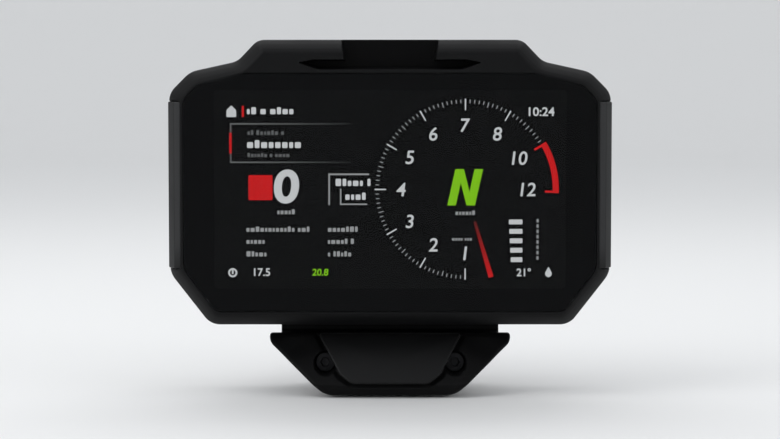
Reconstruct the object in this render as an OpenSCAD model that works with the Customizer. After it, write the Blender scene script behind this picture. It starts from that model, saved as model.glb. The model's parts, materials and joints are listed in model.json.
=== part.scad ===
// Motorcycle instrument cluster: a bonded colour screen in a sealed case that tilts on a
// rubber-mounted support bracket.
// X is to the rider's right, Y points forward to the front wheel and Z is up the screen.
// The origin is the centre of the four mounting bolts, on the plane of the mounting sleeves.

/* [Screen] */
// Width of the picture area
screen_w = 143.9; // [140:0.1:146]
// Height of the picture area
screen_h = 80.9; // [78:0.1:82]

/* [Face] */
// Width of the cover lens
lens_w = 169.8; // [169:0.1:170.4]
// Height of the lens's top edge above the screen's centre
lens_top = 47.6; // [47.2:0.1:47.8]
// Distance of the lens's bottom edge below the screen's centre
lens_bottom = 50.4; // [50:0.1:50.8]
// Thickness of the cover lens
lens_t = 2; // [1.6:0.1:2.4]
// Width of the front frame
frame_w = 182.4; // [182:0.1:183]
// Height of the frame's raised crown above the screen's centre
crown_top = 61.5; // [60:0.5:62]
// Width of the bevel round the frame's face
bevel_w = 5; // [4.5:0.1:5.2]
// Depth of that bevel
bevel_d = 6; // [5:0.5:7]

/* [Case] */
// Distance from the mounting plane to the front of the lens
reach = 62; // [61:0.5:64]
// Wall thickness of the rear housing
wall = 2.5; // [2.2:0.1:2.8]
// Width of the deep middle of the rear housing
core_w = 112; // [110:1:113]
// Number of cooling fins
fin_count = 12; // [8:1:13]

/* [Tilt] */
// Distance of the tilt axis in front of the mounting plane
pivot_reach = 27; // [26.8:0.1:27.2]
// Radius of the shoulder that the display turns on
pivot_r = 4; // [3.8:0.1:4]
// Radial running clearance of the shoulder in its bush
pivot_gap = 0.05; // [0.02:0.01:0.1]
// Tilt of the top away from the rider, in degrees
lean_back = 10; // [6:1:11]
// Tilt of the top towards the rider, in degrees
lean_forward = 5; // [3:1:5]

/* [Mounting] */
// Distance between the mounting bolts, side to side
bolt_dx = 132; // [130:1:134]
// Distance between the mounting bolts, up and down
bolt_dz = 62; // [60:1:64]
// Radius of the hole through a mounting sleeve
bolt_hole_r = 3.2; // [3.1:0.1:3.4]
// Width of the lower cover's raised panel at its top
panel_w = 60.4; // [56:0.2:62]

/* [Hidden] */
$fn = 48;

charcoal = [0.07, 0.07, 0.08];
case_black = [0.04, 0.04, 0.045];
trim_grey = [0.32, 0.33, 0.34];
board_green = [0.05, 0.22, 0.14];
steel = [0.62, 0.63, 0.65];
rubber = [0.05, 0.05, 0.05];
cast_grey = [0.2, 0.2, 0.21];
clear = [0.85, 0.9, 0.92];
chip_black = [0.08, 0.08, 0.09];

eps = 0.01;          // overlap that keeps cuts clean
slide = 0.05;        // gap between faces that slide on each other

// Planes along Y, from the rider's side to the mounting plane.
y_lens = -reach;                    // front of the lens
y_rim = y_lens + 0.6;               // front of the frame, just behind the lens
y_lens_back = y_lens + lens_t;
y_ledge = y_lens_back + 0.6;        // the ledge that the lens is bonded to
y_ledge_back = y_ledge + 1.9;
y_lcd = y_lens_back + 0.5;          // front of the LCD glass, behind its film and an air gap
y_lcd_back = y_ledge_back;
y_film = y_lcd - 0.3;
y_tray_back = y_lcd_back + 4.4;
y_split = y_lens + 16;              // where the front frame meets the rear housing
y_board_back = y_split + 1.6;
y_side_back = y_lens + 22;          // back of the housing's thin sides
y_core_back = y_lens + 34;          // back of the housing's deep middle
y_pivot = -pivot_reach;
y_plate = -11;                      // front of the bracket's plate
y_plate_back = -5;
sleeve_flange = 2;

// Outlines are lists of corners [x, z, radius] on the right half, from the bottom to the top.
frame_half = [[74.5, -56.5, 8], [frame_w / 2, -35, 10], [frame_w / 2, 39.5, 8], [82.5, 48.3, 10],
    [63, 52.6, 8], [54.5, crown_top, 6.5]];
lens_half = [[72, -lens_bottom, 6], [lens_w / 2, -32.6, 8], [lens_w / 2, 37, 8], [78.5, 43, 10],
    [61, lens_top, 10]];
chin_half = [[27, -86, 9], [50.5, -65, 5], [50.5, -61.5, 1]];
panel_half = [[16, -80.6, 6], [21, -77, 5], [panel_w / 2, -61, 1]];
plate_half = [[20, -42, 8], [79, -45, 14], [79, 45, 14], [42, 38, 8]];

lcd_top = screen_h / 2 + 1.85;
lcd_foot = -screen_h / 2 - 6.45;    // room for the LCD's drivers and cable
sheet_t = 0.3;
guide_t = 3;
cavity = [160, 97.5, -0.25];        // width, height and centre of the room inside the case
window = [152, 90.2, -2.3];         // the opening in the ledge behind the lens
core = [core_w, 90, -1];            // the housing's deep middle
header = [-26, -24];                // centre of the harness socket, x and z
header_size = [40, 17];
vent = [30, -26];
telltale_x = [22.4, 69.6];
telltale_z = [44, 46.6];
telltale_count = 6;
case_screws = [for (s = [-1, 1]) each [[s * 85.2, 28], [s * 85.2, -24], [s * 46, 53.6], [s * 42, -52.7]]];
board_posts = [for (x = [-48, 0, 48]) each [[x, 36.5], [x, -38]]];
arm_x = [58, 80];
lug_x = [66, 72];
ear_x = [74, 80];
ear_r = 10;
arm_plate_t = 2.5;
arm_holes = [[62, 11.2], [62, -11.2], [76.5, 12], [76.5, -12]];
stop_half = 1.2;                    // half the width of the tab that stops the tilt
stop_reach = 8.2;                   // how near the stop tab comes to the tilt axis
window_w = 98;                      // width of the window in the bracket's plate
strut_x = [21, 33];
cover_hole = [27, -73];
panel_pegs = [[-15, -66], [15, -66], [-11, -77], [11, -77]];
chin_face = [[-43.5, -61.5], [-58.5, -80.5]];   // the lower cover's sloping face, as [y, z]
face_dir = unit(chin_face[1] - chin_face[0]);
face_normal = [face_dir[1], -face_dir[0]];
panel_t = 2.2;

function unit(v) = v / norm(v);
function at(list, i) = list[(i + len(list)) % len(list)];
function xz(corner) = [corner[0], corner[1]];
function turn(v) = [-v[1], v[0]];
function mirrored(x) = [-x, x];
function both_sides(half) = concat(half,
    [for (i = [len(half) - 1:-1:0]) [-half[i][0], half[i][1], half[i][2]]]);

// Points on the arc of radius r that rounds corner b between its neighbours a and c.
function corner_arc(a, b, c, r, n) =
    let (u = unit(a - b), w = unit(c - b), half = acos(u * w) / 2, hub = b + unit(u + w) * r / sin(half),
        from = b + u * r / tan(half) - hub, to = b + w * r / tan(half) - hub,
        start = atan2(from[1], from[0]), raw = atan2(to[1], to[0]) - start,
        sweep = raw > 180 ? raw - 360 : raw < -180 ? raw + 360 : raw)
    [for (i = [0:n]) hub + r * [cos(start + sweep * i / n), sin(start + sweep * i / n)]];
function rounded(corners, n = 5) = [for (i = [0:len(corners) - 1])
    each corner_arc(xz(at(corners, i - 1)), xz(corners[i]), xz(at(corners, i + 1)), corners[i][2], n)];

// The outline moved inwards by d, or outwards where d is negative, point for point.
function inset(outline, d) = [for (i = [0:len(outline) - 1])
    let (a = turn(unit(outline[i] - at(outline, i - 1))), b = turn(unit(at(outline, i + 1) - outline[i])))
    outline[i] + (a + b) * d / (1 + a * b)];
function box_outline(w, h, r, cx = 0, cz = 0, n = 5) = rounded([[cx - w / 2, cz - h / 2, r],
    [cx + w / 2, cz - h / 2, r], [cx + w / 2, cz + h / 2, r], [cx - w / 2, cz + h / 2, r]], n);

// The room inside the case, grown by g. Its upper corners are rounder, to stay inside the frame.
function room(g) = let (x = cavity[0] / 2 + g, low = cavity[2] - cavity[1] / 2 - g,
    high = cavity[2] + cavity[1] / 2 + g)
    rounded([[-x, low, 6 + g], [x, low, 6 + g], [x, high, 12 + g], [-x, high, 12 + g]]);

frame_outline = rounded(both_sides(frame_half));
lens_outline = rounded(both_sides(lens_half));
chin_outline = rounded(both_sides(chin_half));
panel_outline = rounded(both_sides(panel_half));
plate_outline = rounded(both_sides(plate_half));
core_outline = box_outline(core[0], core[1], 8, 0, core[2]);

// An outline drawn in X and Z, as a plate from y0 to y1.
module slab(outline, y0, y1)
    translate([0, y1, 0]) rotate([90, 0, 0]) linear_extrude(y1 - y0) polygon(outline);

// A solid through rings of equal point counts, each [outline, y], closed by fans at both ends.
module loft(rings) {
    n = len(rings[0][0]);
    last = len(rings) - 1;
    skin = [for (ring = rings) each [for (p = ring[0]) [p[0], ring[1], p[1]]]];
    hubs = [[0, rings[0][1], 0], [0, rings[last][1], 0]];
    sides = [for (k = [0:last - 1], i = [0:n - 1])
        each [[k * n + i, (k + 1) * n + (i + 1) % n, k * n + (i + 1) % n],
            [k * n + i, (k + 1) * n + i, (k + 1) * n + (i + 1) % n]]];
    front = [for (i = [0:n - 1]) [len(skin), i, (i + 1) % n]];
    back = [for (i = [0:n - 1]) [len(skin) + 1, last * n + (i + 1) % n, last * n + i]];
    faces = concat(sides, front, back);
    polyhedron(concat(skin, hubs), [for (f = faces) [f[2], f[1], f[0]]]);
}

module rod_y(r, x, z, y0, y1) translate([x, y1, z]) rotate([90, 0, 0]) cylinder(r = r, h = y1 - y0);
module rod_x(r, x0, x1, y = y_pivot, z = 0)
    translate([x0, y, z]) rotate([0, 90, 0]) cylinder(r = r, h = x1 - x0);
module block(x, y, z) translate([x[0], y[0], z[0]]) cube([x[1] - x[0], y[1] - y[0], z[1] - z[0]]);
module along_x(points, x0, x1)
    translate([x0, 0, 0]) rotate([90, 0, 90]) linear_extrude(x1 - x0) polygon(points);
module on_side(s) if (s < 0) mirror([1, 0, 0]) children(); else children();
module ring_slab(outer, inner, y0, y1) difference() {
    slab(outer, y0, y1);
    slab(inner, y0 - 1, y1 + 1);
}

// A pan-head screw along Y: its head starts at y_head and its shank runs towards the rider.
module screw_back(x, z, r, y_head, length, head_r, head_h) difference() {
    union() {
        rod_y(r, x, z, y_head - length, y_head + eps);
        rod_y(head_r, x, z, y_head, y_head + head_h);
    }
    translate([x, y_head + head_h + eps, z]) rotate([90, 0, 0])
        cylinder(r = head_r * 0.5, h = head_h * 0.6, $fn = 6);
}

// A screw whose head faces the rider, with its shank running forward.
module screw_front(x, z, r, y_head, length, head_r, head_h) mirror([0, 1, 0])
    screw_back(x, z, r, -y_head, length, head_r, head_h);

// Front face

seal_t = 1.2;
module seal_ring(y0, y1) ring_slab(room(1.8), room(0.4), y0, y1);

module cover_lens() color(charcoal)
    loft([[inset(lens_outline, 0.8), y_lens], [lens_outline, y_lens + 0.8], [lens_outline, y_lens_back]]);

module ledge_openings(y0, y1) {
    slab(box_outline(window[0], window[1], 2, 0, window[2]), y0, y1);
    for (s = [-1, 1]) slab(box_outline(telltale_x[1] - telltale_x[0] + 0.8,
        telltale_z[1] - telltale_z[0] + 0.4, 0.8, s * (telltale_x[0] + telltale_x[1]) / 2,
        (telltale_z[0] + telltale_z[1]) / 2), y0, y1);
    rod_y(1.5, 0, 45.3, y0, y1);
}

module lens_seal() color(rubber) difference() {
    slab(inset(lens_outline, 0.5), y_lens_back, y_ledge);
    ledge_openings(y_lens_back - 1, y_ledge + 1);
}

module polariser_film() color(clear)
    block(mirrored(screen_w / 2 + 1.5), [y_film, y_lcd], mirrored(screen_h / 2 + 1.5));

// The crescent slot under the crown and the notch in its middle.
module crown_gap() {
    crescent = [[-36.5, 51.9, 0.8], [-29, 49.6, 3], [29, 49.6, 3], [36.5, 51.9, 0.8], [30, 53.2, 3],
        [-30, 53.2, 3]];
    notch = [[-18.4, 52, 0.5], [18.4, 52, 0.5], [20.5, crown_top + 1, 0.5], [-20.5, crown_top + 1, 0.5]];
    for (outline = [crescent, notch]) slab(rounded(outline), y_rim - 2, y_rim + 7.4);
}

// Cross-section of a side trim, as [x, y] for the right side, grown by g.
function trim_section(g) = let (e = frame_w / 2, lip = e - bevel_w)
    [[lip - g, y_rim + 2.1 + g], [lip - g, y_rim - 0.2 - g], [lip + 0.8, y_rim - 0.2 - g],
        [e + 0.3 + g, y_rim + bevel_d - 0.6], [e + 0.3 + g, y_rim + 10.4 + g],
        [e - 2 - g, y_rim + 10.4 + g], [e - 2 - g, y_rim + bevel_d + 0.8]];
trim_z = [-32.5, 36];
trim_pegs = [-18, 2, 22];

module side_trim() {
    translate([0, 0, trim_z[0]]) linear_extrude(trim_z[1] - trim_z[0]) polygon(trim_section(0));
    for (z = trim_pegs) rod_x(1.2, frame_w / 2 - 4.6, frame_w / 2 - 1.9, y_rim + 8.6, z);
}

module front_frame() color(case_black) difference() {
    loft([[inset(frame_outline, bevel_w), y_rim], [frame_outline, y_rim + bevel_d],
        [frame_outline, y_split]]);
    slab(inset(lens_outline, -0.15), y_rim - 1, y_ledge);
    ledge_openings(y_ledge - 1, y_ledge_back + 1);
    block([-18, 18], [y_ledge, y_ledge_back + 1], [-48.9, -46]);
    slab(room(0), y_ledge_back, y_split + 1);
    seal_ring(y_split - seal_t, y_split + 1);
    for (p = case_screws) rod_y(1.25, p[0], p[1], y_split - 8.5, y_split + 1);
    crown_gap();
    for (s = [-1, 1]) on_side(s) {
        translate([0, 0, trim_z[0] - 0.1]) linear_extrude(trim_z[1] - trim_z[0] + 0.2)
            polygon(trim_section(0.05));
        for (z = trim_pegs) rod_x(1.25, frame_w / 2 - 4.8, frame_w / 2 - 1, y_rim + 8.6, z);
    }
}

// Screen and backlight

module lcd_panel() color(chip_black)
    block(mirrored(screen_w / 2 + 3), [y_lcd, y_lcd_back], [lcd_foot, lcd_top]);
module sheet(y, t) block(mirrored(screen_w / 2 + 2), [y, y + t], [lcd_foot + 3.2, lcd_top - 0.3]);
module diffuser_sheet() color(clear) sheet(y_lcd_back, sheet_t);
module light_guide() color(clear) sheet(y_lcd_back + sheet_t, guide_t);
module reflector_sheet() color("white") sheet(y_lcd_back + sheet_t + guide_t, sheet_t);

led_count = 20;
led_pitch = 7.2;
module led_strip() {
    color(board_green) block(mirrored(led_count * led_pitch / 2), [y_lcd_back + 0.4, y_lcd_back + 3.4],
        [lcd_foot + 0.1, lcd_foot + 1.1]);
    color("white") for (i = [0:led_count - 1]) let (x = (i - (led_count - 1) / 2) * led_pitch)
        block([x - 1.5, x + 1.5], [y_lcd_back + 0.9, y_lcd_back + 2.8],
            [lcd_foot + 1.1 - eps, lcd_foot + 2.9]);
}

tray_t = 0.8;
module backlight_tray() color(steel) difference() {
    block(mirrored(screen_w / 2 + 5.5), [y_lcd_back, y_tray_back], [lcd_foot - 0.9, lcd_top + 0.9]);
    block(mirrored(screen_w / 2 + 5.5 - tray_t), [y_lcd_back - 1, y_tray_back - tray_t],
        [lcd_foot - 0.9 + tray_t, lcd_top + 0.9 - tray_t]);
    for (x = [-55, 0, 55]) slab(box_outline(36, 54, 6, x, -2, 4), y_tray_back - 2, y_tray_back + 1);
}

// A flexible cable that leaves the LCD's lower edge, passes under the tray and meets the board's socket.
module display_cable() color([0.55, 0.32, 0.08]) along_x([[y_lcd + 1, lcd_foot], [y_lcd + 1, -48.6],
    [y_split - 0.6, -48.6], [y_split - 0.6, -45], [y_split - 0.9, -45], [y_split - 0.9, -48.3],
    [y_lcd + 1.3, -48.3], [y_lcd + 1.3, lcd_foot]], -15, 15);

// Indicator lamps, light sensor and the board

function telltale_cell(i) = telltale_x[0] + (telltale_x[1] - telltale_x[0]) / telltale_count * (i + 0.5);

module telltale_guide() difference() {
    block(telltale_x, [y_ledge + 0.1, y_split], telltale_z);
    for (i = [0:telltale_count - 1])
        block([telltale_cell(i) - 3.2, telltale_cell(i) + 3.2], [y_ledge - 1, y_split + 1], [44.4, 46.2]);
}

module telltale_leds() color("white") for (s = [-1, 1], i = [0:telltale_count - 1])
    translate([s * telltale_cell(i), y_split - 0.4, 45.3]) cube([3, 0.8, 1.5], center = true);

module light_pipe() color(clear) rod_y(1.3, 0, 45.3, y_ledge + 0.1, y_split - 1);
module light_sensor() color(chip_black) block([-1.2, 1.2], [y_split - 1, y_split], [44.1, 46.2]);

module main_board() color(board_green) difference() {
    slab(room(-1.5), y_split, y_board_back);
    for (p = board_posts) rod_y(1.6, p[0], p[1], y_split - 1, y_board_back + 1);
}

module cable_socket() color("ivory") block([-18, 18], [y_split - 1.4, y_split], [-45, -41]);
module processor() color(chip_black) block([8, 28], [y_board_back, y_board_back + 1.8], [-2, 18]);
module memory_chips() color(chip_black) for (z = [22, 33])
    block([8, 22], [y_board_back, y_board_back + 1.2], [z, z + 8.5]);

module power_coils() color("dimgray") for (x = [-40, -26])
    slab(box_outline(10, 10, 2, x, 24, 4), y_board_back, y_board_back + 5);

module capacitors() color("silver") for (p = [[-44, 6], [-34, 6], [-24, 6]])
    rod_y(4, p[0], p[1], y_board_back, y_board_back + 9);

module radio_module() color(steel) block([34, 50], [y_board_back, y_board_back + 2.4], [-18, 6]);

// A stamped can over the processor, open towards the board.
module shield_can() color(steel) difference() {
    block([4, 32], [y_board_back, y_board_back + 3.2], [-6, 21.5]);
    block([4.4, 31.6], [y_board_back - 1, y_board_back + 2.8], [-5.6, 21.1]);
}

module thermal_pad() color([0.45, 0.6, 0.7])
    block([5, 31], [y_board_back + 3.2, y_board_back + 4.2], [-5, 20.5]);

module board_screws() color(steel) for (p = board_posts)
    screw_front(p[0], p[1], 1.2, y_split, 7, 2.6, 1.6);

// Rear housing

module housing_seal() color(rubber) seal_ring(y_split - seal_t, y_split);

module housing_shell() {
    loft([[inset(frame_outline, 0.4), y_split], [inset(frame_outline, 0.4), y_side_back - 1.4],
        [inset(frame_outline, 1.6), y_side_back]]);
    loft([[core_outline, y_side_back - 0.5], [inset(core_outline, 0.8), y_core_back - 2.5],
        [inset(core_outline, 3), y_core_back]]);
    for (i = [0:fin_count - 1]) let (x = (i - (fin_count - 1) / 2) * 8)
        block([x - 0.8, x + 0.8], [y_core_back - eps, y_core_back + 2.8], [-4, 38]);
}

module rear_housing() color(cast_grey) difference() {
    union() {
        difference() {
            housing_shell();
            slab(room(0), y_split - 1, y_side_back - wall);
            slab(inset(core_outline, wall), y_split, y_core_back - wall);
        }
        for (p = board_posts) rod_y(3.3, p[0], p[1], y_board_back, y_core_back - wall + eps);
        for (s = [-1, 1], p = arm_holes)
            rod_y(3.4, s * p[0], p[1], y_board_back + 0.1, y_side_back - wall + eps);
        block([5, 31], [y_board_back + 4.2, y_core_back - wall + eps], [-5, 20.5]);
    }
    for (p = board_posts) rod_y(1.2, p[0], p[1], y_board_back - 1, y_board_back + 8);
    for (s = [-1, 1], p = arm_holes) rod_y(1.6, s * p[0], p[1], y_board_back - 1, y_side_back + 1);
    for (p = case_screws) {
        rod_y(1.7, p[0], p[1], y_split - 1, y_side_back + 1);
        rod_y(3, p[0], p[1], y_side_back - 1.6, y_side_back + 1);
    }
    slab(header_outline(2), y_core_back - wall - 1, y_core_back + 1);
    rod_y(3.5, vent[0], vent[1], y_core_back - wall - 1, y_core_back + 1);
}

module housing_screws() color(steel) for (p = case_screws)
    screw_back(p[0], p[1], 1.25, y_side_back - 1.6, 11.5, 2.7, 2.2);

// Harness socket and vent

// The socket's outline, grown by g.
function header_outline(g) = box_outline(header_size[0] + 2 * g, header_size[1] + 2 * g, max(1, 2 + g / 2),
    header[0], header[1]);
header_mouth = -18;
header_floor = -32;
pin_rows = [for (x = [0:9], z = [-1, 1]) [header[0] - 13.5 + x * 3, header[1] + z * 3]];

module header_connector() color(chip_black) difference() {
    union() {
        slab(header_outline(0), y_board_back, header_mouth);
        block([header[0] - 2.5, header[0] + 2.5], [y_core_back + 2, -20],
            [header[1] + header_size[1] / 2 - eps, header[1] + header_size[1] / 2 + 2]);
    }
    slab(header_outline(-2.5), header_floor, header_mouth + 1);
    pins(y_board_back - 1, header_floor + 1);
}

module pins(y0, y1) for (p = pin_rows) block([p[0] - 1, p[0] + 1], [y0, y1], [p[1] - 1, p[1] + 1]);
module header_pins() color("goldenrod") pins(y_board_back, -25);

module header_seal() color(rubber)
    ring_slab(header_outline(2), header_outline(0), y_core_back - wall, y_core_back);

module vent_plug() color(chip_black) difference() {
    union() {
        rod_y(3.5, vent[0], vent[1], y_core_back - wall, y_core_back + eps);
        rod_y(7, vent[0], vent[1], y_core_back, y_core_back + 3.6);
    }
    rod_y(2, vent[0], vent[1], y_core_back - wall - 1, y_core_back + 1.1);
    rod_y(5, vent[0], vent[1], y_core_back + 1, y_core_back + 2.4);
    for (a = [0:60:120]) translate([vent[0], y_core_back + 1.7, vent[1]]) rotate([0, a, 0])
        cube([16, 1.2, 2], center = true);
}

module vent_membrane() color("white") rod_y(4.6, vent[0], vent[1], y_core_back + 1, y_core_back + 1.3);

// Tilt arms and pivots

module tilt_arm() difference() {
    union() {
        slab(box_outline(arm_x[1] - arm_x[0], 31, 3, (arm_x[0] + arm_x[1]) / 2), y_side_back,
            y_side_back + arm_plate_t);
        rod_x(8, lug_x[0], lug_x[1]);
        block(lug_x, [y_side_back + arm_plate_t - eps, y_pivot], [-8, 8]);
        block([ear_x[0] + 1, ear_x[1] - 1], [y_side_back + arm_plate_t - eps, y_pivot - stop_reach],
            [-stop_half, stop_half]);
    }
    for (p = arm_holes) rod_y(2.1, p[0], p[1], y_side_back - 1, y_side_back + arm_plate_t + 1);
    rod_x(3, lug_x[0] - 1, lug_x[1] + 1);
}

module arm_screws() color(steel) for (s = [-1, 1], p = arm_holes)
    screw_back(s * p[0], p[1], 1.6, y_side_back + arm_plate_t, 6, 3, 2);

module pivot_bolt() difference() {
    union() {
        rod_x(3, lug_x[0] - 1.5, lug_x[1] + eps);
        rod_x(pivot_r, lug_x[1], ear_x[1] + 1.2 + eps);
        rod_x(6.5, ear_x[1] + 1.2, ear_x[1] + 5.2);
    }
    translate([ear_x[1] + 2.6, y_pivot, 0]) rotate([0, 90, 0]) cylinder(r = 2.9, h = 3, $fn = 6);
}

module friction_washer() difference() {
    rod_x(8.5, lug_x[1], lug_x[1] + 1 - slide);
    rod_x(pivot_r, lug_x[1] - 1, lug_x[1] + 2);
}

// A conical spring washer between the ear and the bolt's head.
module spring_washer() translate([ear_x[1] + slide, y_pivot, 0]) rotate([0, 90, 0])
    rotate_extrude() polygon([[pivot_r + 0.1, 0.5], [8, 0], [8, 0.65], [pivot_r + 0.1, 1.15]]);

module pivot_bush() difference() {
    union() {
        rod_x(8.5, ear_x[0] - 1, ear_x[0]);
        rod_x(6, ear_x[0] - eps, ear_x[1]);
    }
    rod_x(pivot_r + pivot_gap, ear_x[0] - 2, ear_x[1] + 1);
}

// Support bracket and its rubber mounts

bolt_places = [[-1, 1], [1, 1], [-1, -1], [1, -1]];

module ear() difference() {
    union() {
        rod_x(ear_r, ear_x[0], ear_x[1]);
        along_x([[y_pivot, -ear_r], [y_plate - 4, -ear_r], [y_plate + eps, -14], [y_plate + eps, 14],
            [y_plate - 4, ear_r], [y_pivot, ear_r]], ear_x[0], ear_x[1]);
    }
    rod_x(6, ear_x[0] - 1, ear_x[1] + 1);
    block([ear_x[0] - 1, ear_x[1] + 1], [y_pivot - ear_r - 1, y_pivot - stop_reach + 0.5],
        [-stop_half - 0.3 - ear_r * sin(lean_forward), stop_half + 0.3 + ear_r * sin(lean_back)]);
}

module strut() difference() {
    union() {
        along_x([[y_plate, -38], [y_plate_back, -38], [y_plate_back, -76], [-44, -76], [-44, -71],
            [-19, -71], [y_plate, -60]], strut_x[0], strut_x[1]);
        block(strut_x, [-44, -41], [-77, -66]);
    }
    rod_y(2.1, cover_hole[0], cover_hole[1], -45, -39);
}

module support_bracket() color(cast_grey) {
    difference() {
        union() {
            difference() {
                union() {
                    slab(plate_outline, y_plate, y_plate_back);
                    ring_slab(box_outline(window_w + 6, 68, 8, 0, -3), box_outline(window_w, 62, 6, 0, -3),
                        y_plate_back - eps, y_plate_back + 2);
                }
                slab(box_outline(window_w, 62, 6, 0, -3), y_plate - 1, y_plate_back + 3);
            }
            for (s = [-1, 1]) on_side(s) strut();
        }
        for (p = bolt_places)
            rod_y(9, p[0] * bolt_dx / 2, p[1] * bolt_dz / 2, y_plate - 1, y_plate_back + 1);
    }
    for (s = [-1, 1]) on_side(s) ear();
}

module grommet(p) color(rubber) translate([p[0] * bolt_dx / 2, 0, p[1] * bolt_dz / 2]) difference() {
    union() {
        rod_y(9, 0, 0, y_plate - eps, y_plate_back + eps);
        rod_y(12.5, 0, 0, y_plate - 3, y_plate);
        rod_y(12.5, 0, 0, y_plate_back, -sleeve_flange);
    }
    rod_y(5, 0, 0, y_plate - 4, 0);
}

module mount_sleeves() color(steel) for (p = bolt_places)
    translate([p[0] * bolt_dx / 2, 0, p[1] * bolt_dz / 2]) difference() {
        union() {
            rod_y(5, 0, 0, y_plate - 3.6, -sleeve_flange + eps);
            rod_y(11, 0, 0, -sleeve_flange, 0);
        }
        rod_y(bolt_hole_r, 0, 0, y_plate - 5, 1);
    }

// Lower cover

function off_face(d) = d * face_normal;
chin_profile = [[-40, -61.5], chin_face[0], chin_face[1], [-58.5, -83], [-55.5, -86], [-40, -86]];
chin_inner = [[-36, -63.9], [-42.4, -63.9], [-56.1, -81.3], [-56.1, -82], [-54.5, -83.6], [-36, -83.6]];
// The neck that closes the gap behind the display's lower edge, as [y, z].
neck_profile = [[-42, -61.5], [-33.5, -61.5], [-33.5, -50], [-31, -50], [-31, -63.9], [-42, -63.9]];
neck_half_w = 46;

module lower_cover() color(case_black) difference() {
    union() {
        difference() {
            intersection() {
                along_x(chin_profile, -60, 60);
                slab(chin_outline, -62, -38);
            }
            intersection() {
                along_x(chin_inner, -60, 60);
                slab(inset(chin_outline, 2.4), -62, -35);
            }
        }
        intersection() {
            for (s = [-1, 1]) rod_y(5.6, s * cover_hole[0], cover_hole[1], -60, -44);
            along_x(chin_profile, -60, 60);
        }
        along_x(neck_profile, -neck_half_w, neck_half_w);
    }
    for (s = [-1, 1]) {
        rod_y(2.2, s * cover_hole[0], cover_hole[1], -60, -43);
        rod_y(4.3, s * cover_hole[0], cover_hole[1], -62, -47);
    }
    for (p = panel_pegs) rod_y(1.6, p[0], p[1], -60, -42);
}

module lower_panel() color(charcoal) {
    intersection() {
        along_x([chin_face[0] + off_face(0), chin_face[1] + off_face(0), chin_face[1] + off_face(panel_t),
            chin_face[0] + off_face(panel_t)], -40, 40);
        slab(panel_outline, -64, -40);
    }
    for (p = panel_pegs) let (y = chin_face[0][0] + (p[1] - chin_face[0][1]) * face_dir[0] / face_dir[1])
        rod_y(1.5, p[0], p[1], y - 1.2, y + 5);
}

module cover_screws() color(steel) for (s = [-1, 1])
    screw_front(s * cover_hole[0], cover_hole[1], 2, -47, 7.5, 4, 2);

cover_lens();
lens_seal();
polariser_film();
front_frame();
color(trim_grey) on_side(-1) side_trim();  // side_trim_left
color(trim_grey) on_side(1) side_trim();  // side_trim_right
lcd_panel();
diffuser_sheet();
light_guide();
reflector_sheet();
led_strip();
backlight_tray();
display_cable();
color("white") on_side(-1) telltale_guide();  // telltale_guide_left
color("white") on_side(1) telltale_guide();  // telltale_guide_right
telltale_leds();
light_pipe();
light_sensor();
main_board();
cable_socket();
processor();
memory_chips();
power_coils();
capacitors();
radio_module();
shield_can();
thermal_pad();
board_screws();
housing_seal();
rear_housing();
housing_screws();
header_connector();
header_pins();
header_seal();
vent_plug();
vent_membrane();
color(cast_grey) on_side(-1) tilt_arm();  // tilt_arm_left
color(cast_grey) on_side(1) tilt_arm();  // tilt_arm_right
arm_screws();
color(steel) on_side(-1) pivot_bolt();  // pivot_bolt_left
color(steel) on_side(1) pivot_bolt();  // pivot_bolt_right
color("dimgray") on_side(-1) friction_washer();  // friction_washer_left
color("dimgray") on_side(1) friction_washer();  // friction_washer_right
color(steel) on_side(-1) spring_washer();  // spring_washer_left
color(steel) on_side(1) spring_washer();  // spring_washer_right
support_bracket();
color("ivory") on_side(-1) pivot_bush();  // pivot_bush_left
color("ivory") on_side(1) pivot_bush();  // pivot_bush_right
grommet(bolt_places[0]);  // grommet_top_left
grommet(bolt_places[1]);  // grommet_top_right
grommet(bolt_places[2]);  // grommet_bottom_left
grommet(bolt_places[3]);  // grommet_bottom_right
mount_sleeves();
lower_cover();
lower_panel();
cover_screws();
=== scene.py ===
"""The looks of a motorcycle instrument cluster: a dark glass screen in a bevelled case that tilts on a
bracket.

Lengths in this file are in millimetres, as the cluster's drawing has them, and new_piece turns them into
metres.
X is to the rider's right, Y points forward and Z is up the screen.
"""
import json
import math

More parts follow.
